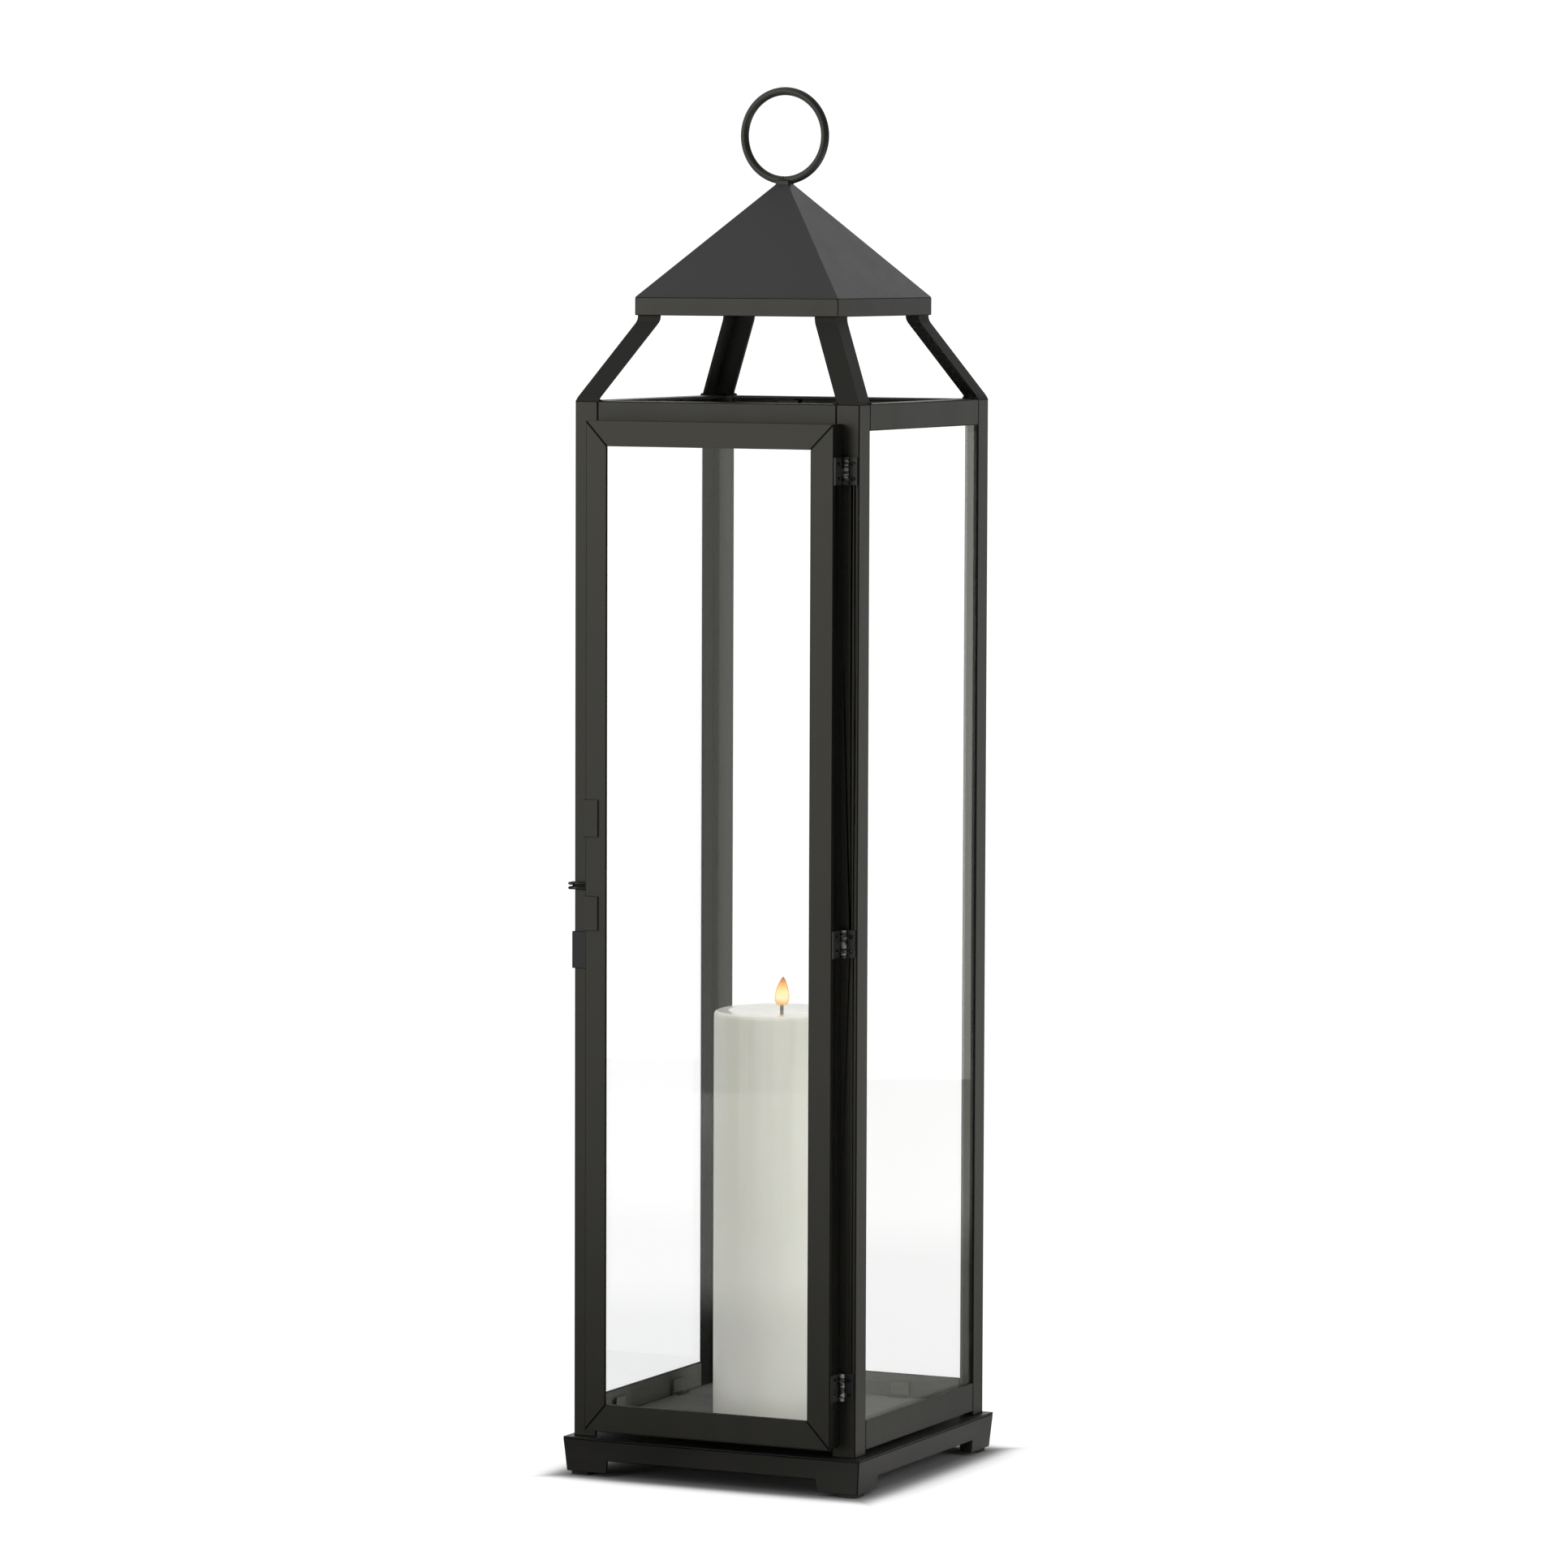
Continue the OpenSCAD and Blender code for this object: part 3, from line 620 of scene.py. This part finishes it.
# %% [markdown]
# ## The floor
#
# The lantern stands on a pale sweep of paper. It could be a plane that runs to the horizon, but its
# far edge would draw a grey line behind the lantern, so it is a disc that turns to plain white just
# outside the base. What a camera ray sees of it is white, with a narrow shadow round the feet, and a
# painted shadow under the base, where its colour is turned dark. What bounces back on the steel is
# dimmer, as in a studio where the sweep is small, with two dark cards lying on it: one before the
# door keeps the front of the base dark, one behind the right side does the same for the low right
# faces.

# %% Lay the floor
BACKDROP_WHITE = 1.12


def white_floor():
    finish = Finish("white_sweep")
    seen = finish.node("ShaderNodeLightPath", out="Is Camera Ray")
    grain = cloud(finish, 40.0, detail=2.0)
    front_card = sharpen(finish, distance_from(finish, (-0.15, -0.38, 0)), 0.5, 0.25)
    back_card = sharpen(finish, distance_from(finish, (0.26, 0.50, 0)), 0.6, 0.25)
    bounced = blend(finish, front_card, blend(finish, back_card, tint(0.75, 0.75, 0.75),
                                              tint(0.35, 0.35, 0.35)), tint(0.05, 0.05, 0.05))
    spread = finish.node("ShaderNodeVectorMath", {"operation": "ABSOLUTE"}, {0: place(finish)})
    away = finish.node("ShaderNodeMath", {"operation": "MAXIMUM"}, {
        0: part(finish, spread, "X"), 1: part(finish, spread, "Y")})
    # Under the base the paper's colour is darkened: a painted shadow.
    painted_shadow_under_base = sharpen(finish, away, 0.108, 0.090)
    shown = blend(finish, painted_shadow_under_base, tint(0.95, 0.95, 0.955), tint(0.25, 0.25, 0.25))
    paper = finish.node("ShaderNodeBsdfPrincipled", {}, {
        "Base Color": blend(finish, seen, bounced, shown),
        "Roughness": between(grain, 0.85, 0.95), "Specular IOR Level": 0.0})
    white = finish.node("ShaderNodeEmission", {}, {"Color": tint(1, 1, 1), "Strength": BACKDROP_WHITE})
    faded = sharpen(finish, away, 0.094, 0.125) * seen
    return finish.show(finish.node("ShaderNodeMixShader", {}, {0: faded, 1: paper, 2: white}))


floor_mesh = bpy.data.meshes.new("sweep")
reach, corners = 1.9, 96
floor_mesh.from_pydata([(reach * math.cos(2 * math.pi * k / corners),
                         reach * math.sin(2 * math.pi * k / corners), 0) for k in range(corners)],
                       [], [tuple(range(corners))])
floor = bpy.data.objects.new("sweep", floor_mesh)
floor.location.z = cad_box[0][2] - 0.0002
floor_mesh.materials.append(white_floor())
bpy.context.collection.objects.link(floor)
print("floor at z", round(floor.location.z, 4))

# %% [markdown]
# ## The light
#
# Satin black shows almost nothing but what it mirrors, so the studio round it is what gives it
# its shape. Each face of the cage mirrors one direction. The sky is white paper on the left and
# behind, and dark on the right, which makes the near corners and the hinge gap almost black. A
# narrow bright slit stands exactly where the right pane mirrors it, so the glass gets its pale
# veil while the satin faces, which blur it, stay dim. The camera itself sees plain white, the same
# white as the floor's.

# %% Light the sky
class Sky(Finish):
    """The same way with nodes, for the world."""

    def __init__(self, name):
        world = bpy.data.worlds.new(name)
        bpy.context.scene.world = world
        world.use_nodes = True
        self.tree = world.node_tree
        self.tree.nodes.clear()

    def show(self, shader):
        out = self.tree.nodes.new("ShaderNodeOutputWorld")
        self.tree.links.new(shader.socket, out.inputs["Surface"])


def looking(sky, way):
    """How far a ray points that way, 1 when straight at it."""
    return sky.node("ShaderNodeVectorMath", {"operation": "DOT_PRODUCT"}, {
        0: sky.node("ShaderNodeTexCoord", out="Generated"), 1: way}, out="Value")


sky = Sky("studio")
DARK_BEARING = math.radians(73)
dark_side = (math.sin(DARK_BEARING), -math.cos(DARK_BEARING), 0.1)
shade = sharpen(sky, looking(sky, dark_side), -0.30, 0.35)
paper = blend(sky, shade, tint(0.92, 0.92, 0.92), tint(0.06, 0.06, 0.06))
mirror_way, across_way = (math.sin(TURN), math.cos(TURN), 0), (math.cos(TURN), -math.sin(TURN), 0)
rise = looking(sky, (0, 0, 1))
aside = sky.node("ShaderNodeMath", {"operation": "ABSOLUTE"}, {0: looking(sky, across_way)})
slit = (sharpen(sky, aside, 0.07, 0.05) * sharpen(sky, looking(sky, mirror_way), 0.2, 0.4)
        * sharpen(sky, rise, 0.06, 0.02) * sharpen(sky, rise, -0.22, -0.19))
glow = sky.node("ShaderNodeBackground", {}, {"Color": blend(sky, slit, paper, tint(1.3, 1.3, 1.3))})
seen = sky.node("ShaderNodeBackground", {}, {"Color": tint(1, 1, 1), "Strength": BACKDROP_WHITE})
sky.show(sky.node("ShaderNodeMixShader", {}, {
    0: sky.node("ShaderNodeLightPath", out="Is Camera Ray"), 1: glow, 2: seen}))
print("dark side of the studio is towards", [round(c, 2) for c in dark_side])

# %% [markdown]
# Four soft lamps do the rest. The front lamp hangs high on the left and is mirrored in the coat, so
# the door darkens towards its foot. The other three are kept out of the satin and light only what
# is not a mirror: a wide one from above the roof, a low one from the left the front of the wax, and
# one from the right its far side and the floor.

# %% Hang the lamps
def soft_lamp(name, where, towards, wide, tall, glow, mirrored=False):
    """A rectangular lamp of that brightness, out of the camera's sight."""
    lamp = bpy.data.lights.new(name, "AREA")
    lamp.shape, lamp.size, lamp.size_y = "RECTANGLE", wide, tall
    lamp.energy = glow * math.pi * wide * tall
    hung = bpy.data.objects.new(name, lamp)
    hung.location = where
    hung.rotation_euler = (Vector(towards) - Vector(where)).to_track_quat("-Z", "Y").to_euler()
    hung.visible_camera, hung.visible_glossy = False, mirrored
    bpy.context.collection.objects.link(hung)
    return hung


lamps = [
    soft_lamp("top_lamp", (0.1, -0.1, 2.6), (0, 0, 0), 3.2, 3.2, 1.6),
    soft_lamp("front_lamp", (-0.85, -1.75, 1.2), (0, 0, 0.7), 1.1, 1.3, 1.75, mirrored=True),
    soft_lamp("candle_lamp", (-1.1, -2.1, 0.25), (0, 0, 0.05), 1.0, 0.5, 7.0),
    soft_lamp("side_lamp", (1.9, -0.2, 0.7), (0, 0, 0.2), 0.8, 1.4, 7.0),
]
print("lamps:", [lamp.name for lamp in lamps])
